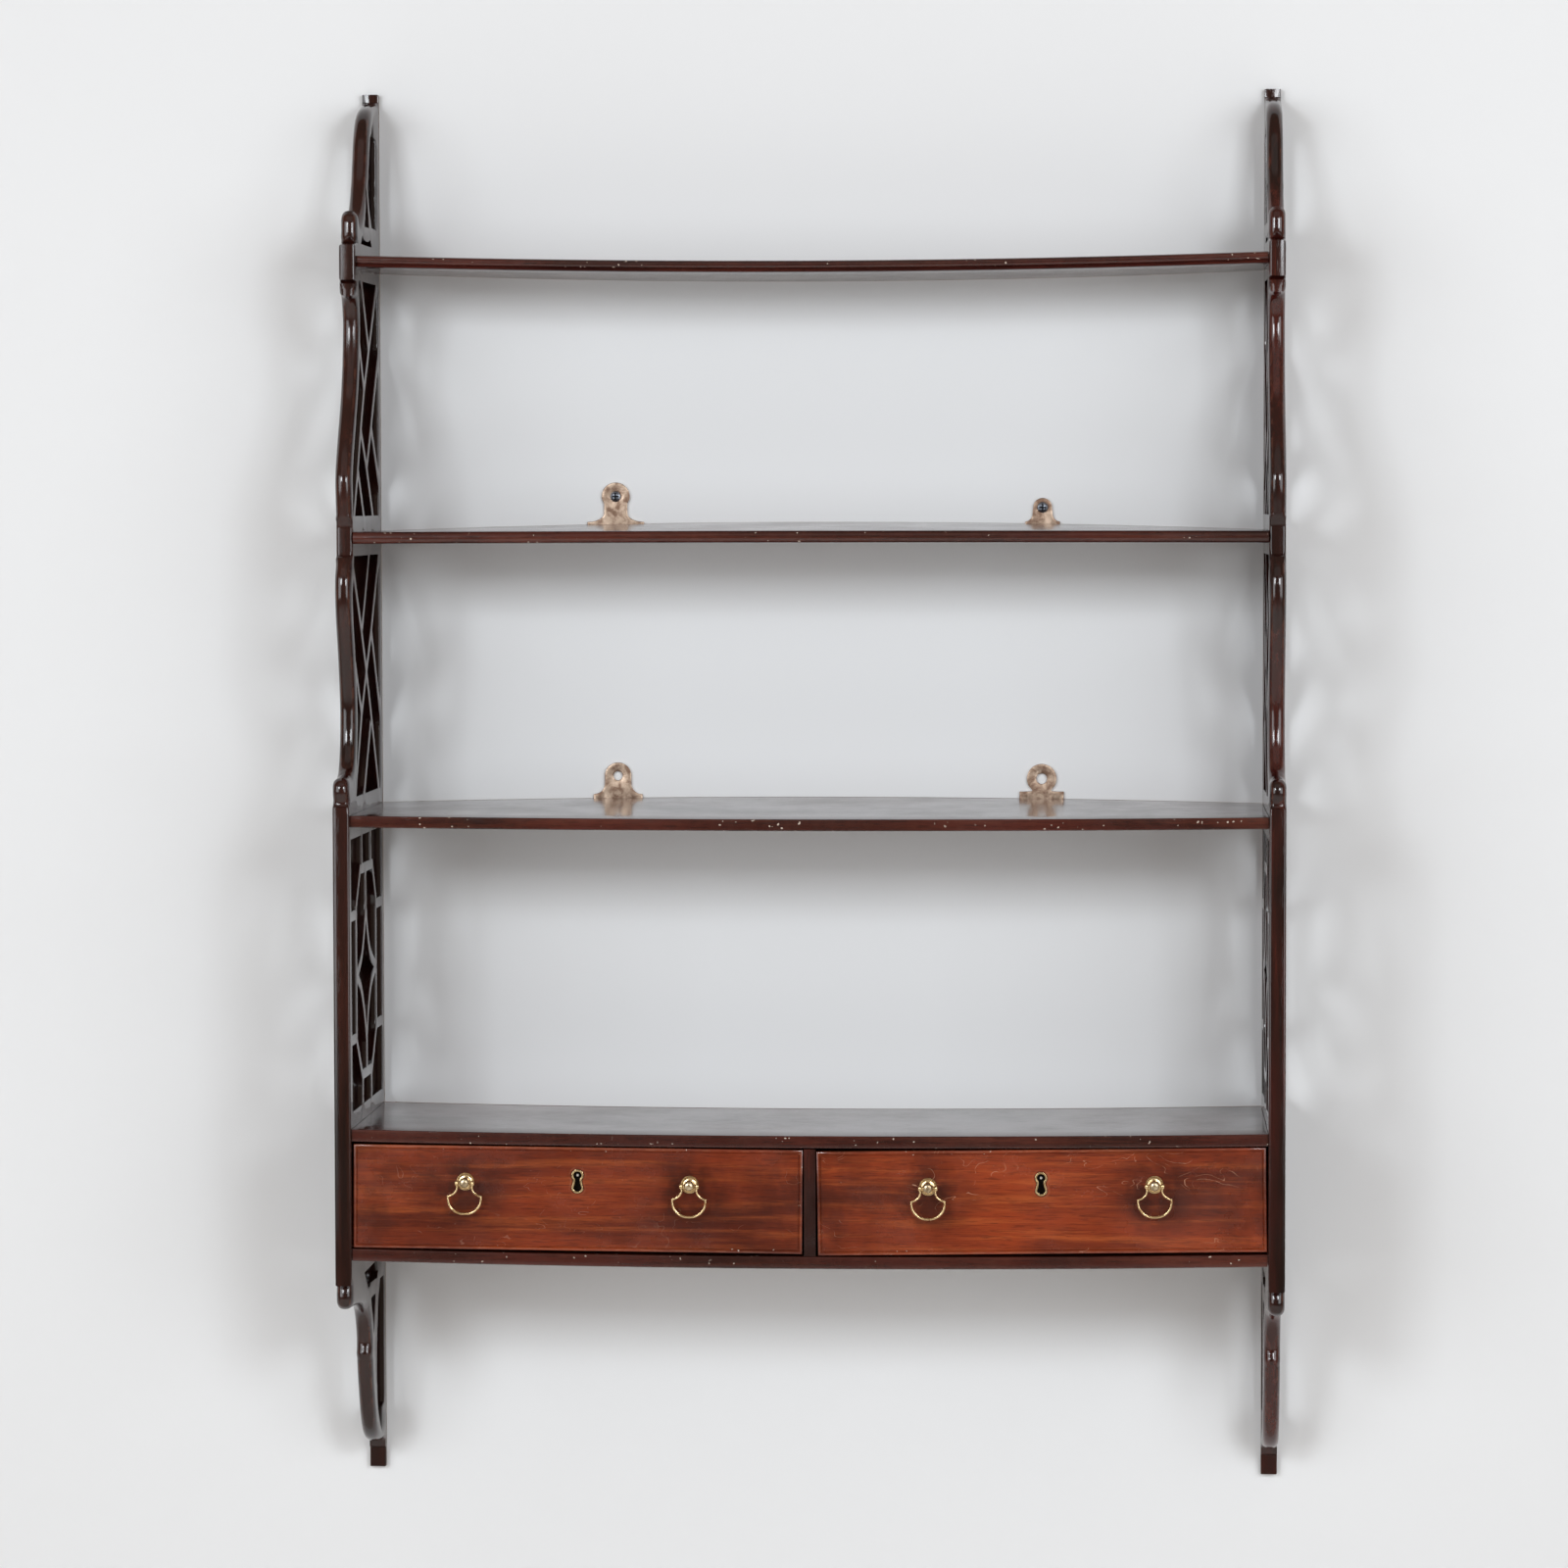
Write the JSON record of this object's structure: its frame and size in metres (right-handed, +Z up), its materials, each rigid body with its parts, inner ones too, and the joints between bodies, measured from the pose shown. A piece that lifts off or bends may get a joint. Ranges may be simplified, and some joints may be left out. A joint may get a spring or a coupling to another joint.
{
  "type": "hanging wall shelf",
  "caption": "Hanging wall shelf with pierced fretwork sides, open shelves above a low case, and small drawers with drop handles and key locks.",
  "frame": {"origin": "middle of the back edge of the low open shelf, in the plane of the wall", "axes": "+X to the right as seen from the room, +Y into the wall, +Z up; the drawers open along -Y"},
  "size_m": [0.7, 0.2242, 1.057],
  "materials": {
    "mahogany_dark": "glossy, old French polish, dark reddish brown",
    "mahogany_front": "glossy, orange red brown, long straight grain",
    "drawer_lining": "raw, dry oak or pine",
    "backboard_pine": "raw, darkened",
    "brass_bright": "worn, rubbed bright on the high spots",
    "brass_tarnished": "dull, tarnished",
    "brass_escutcheon": "thin bright rim",
    "brass_plate": "dull, spotted with age",
    "brass_lock": "dull, filed",
    "iron_bolt": "filed iron",
    "steel_screw": "dark, oxidised"
  },
  "bodies": {
    "frame": {"side_left": "mahogany_dark", "side_right": "mahogany_dark", "shelf_top": "mahogany_dark", "shelf_middle": "mahogany_dark", "shelf_low": "mahogany_dark", "case_top": "mahogany_dark", "case_bottom": "mahogany_dark", "case_divider": "mahogany_dark", "case_back": "backboard_pine", "wall_plate_upper_left": "brass_plate", "plate_screw_upper_left_1": "steel_screw", "plate_screw_upper_left_2": "steel_screw", "wall_plate_upper_right": "brass_plate", "plate_screw_upper_right_1": "steel_screw", "plate_screw_upper_right_2": "steel_screw", "wall_plate_lower_left": "brass_plate", "plate_screw_lower_left_1": "steel_screw", "plate_screw_lower_left_2": "steel_screw", "wall_plate_lower_right": "brass_plate", "plate_screw_lower_right_1": "steel_screw", "plate_screw_lower_right_2": "steel_screw", "wall_screw_upper_left": "steel_screw", "wall_screw_upper_right": "steel_screw"},
    "drawer_left": {"drawer_left_front": "mahogany_front", "drawer_left_side_left": "drawer_lining", "drawer_left_side_right": "drawer_lining", "drawer_left_back": "drawer_lining", "drawer_left_bottom": "drawer_lining", "drawer_left_escutcheon": "brass_escutcheon", "drawer_left_lock_case": "brass_lock", "handle_rosette_left_left": "brass_bright", "handle_post_left_left": "brass_tarnished", "handle_nut_left_left": "brass_tarnished", "handle_rosette_left_right": "brass_bright", "handle_post_left_right": "brass_tarnished", "handle_nut_left_right": "brass_tarnished"},
    "bail_left_left": {"handle_bail_left_left": "brass_bright"},
    "bail_left_right": {"handle_bail_left_right": "brass_bright"},
    "bolt_left": {"drawer_left_lock_bolt": "iron_bolt"},
    "drawer_right": {"drawer_right_front": "mahogany_front", "drawer_right_side_left": "drawer_lining", "drawer_right_side_right": "drawer_lining", "drawer_right_back": "drawer_lining", "drawer_right_bottom": "drawer_lining", "drawer_right_escutcheon": "brass_escutcheon", "drawer_right_lock_case": "brass_lock", "handle_rosette_right_left": "brass_bright", "handle_post_right_left": "brass_tarnished", "handle_nut_right_left": "brass_tarnished", "handle_rosette_right_right": "brass_bright", "handle_post_right_right": "brass_tarnished", "handle_nut_right_right": "brass_tarnished"},
    "bail_right_left": {"handle_bail_right_left": "brass_bright"},
    "bail_right_right": {"handle_bail_right_right": "brass_bright"},
    "bolt_right": {"drawer_right_lock_bolt": "iron_bolt"}
  },
  "joints": [
    {"name": "drawer_left_slide", "type": "slide", "parent": "frame", "child": "drawer_left", "axis": [0, -1, 0], "range_m": [0, 0.13]},
    {"name": "bail_left_left_hinge", "type": "hinge", "parent": "drawer_left", "child": "bail_left_left", "pos_m": [-0.2531, -0.19, -0.27031], "axis": [-1, 0, 0.0084], "range_deg": [0, 100]},
    {"name": "bail_left_right_hinge", "type": "hinge", "parent": "drawer_left", "child": "bail_left_right", "pos_m": [-0.0871, -0.19, -0.2717], "axis": [-1, 0, 0.0084], "range_deg": [0, 100]},
    {"name": "bolt_left_throw", "type": "slide", "parent": "drawer_left", "child": "bolt_left", "axis": [0.0084, 0, 1], "range_m": [0, 0.006]},
    {"name": "drawer_right_slide", "type": "slide", "parent": "frame", "child": "drawer_right", "axis": [0, -1, 0], "range_m": [0, 0.13]},
    {"name": "bail_right_left_hinge", "type": "hinge", "parent": "drawer_right", "child": "bail_right_left", "pos_m": [0.08853, -0.19, -0.27223], "axis": [-0.9999, 0, -0.0148], "range_deg": [0, 100]},
    {"name": "bail_right_right_hinge", "type": "hinge", "parent": "drawer_right", "child": "bail_right_right", "pos_m": [0.25451, -0.19, -0.26977], "axis": [-0.9999, 0, -0.0148], "range_deg": [0, 100]},
    {"name": "bolt_right_throw", "type": "slide", "parent": "drawer_right", "child": "bolt_right", "axis": [-0.0148, 0, 0.9999], "range_m": [0, 0.006]}
  ]
}
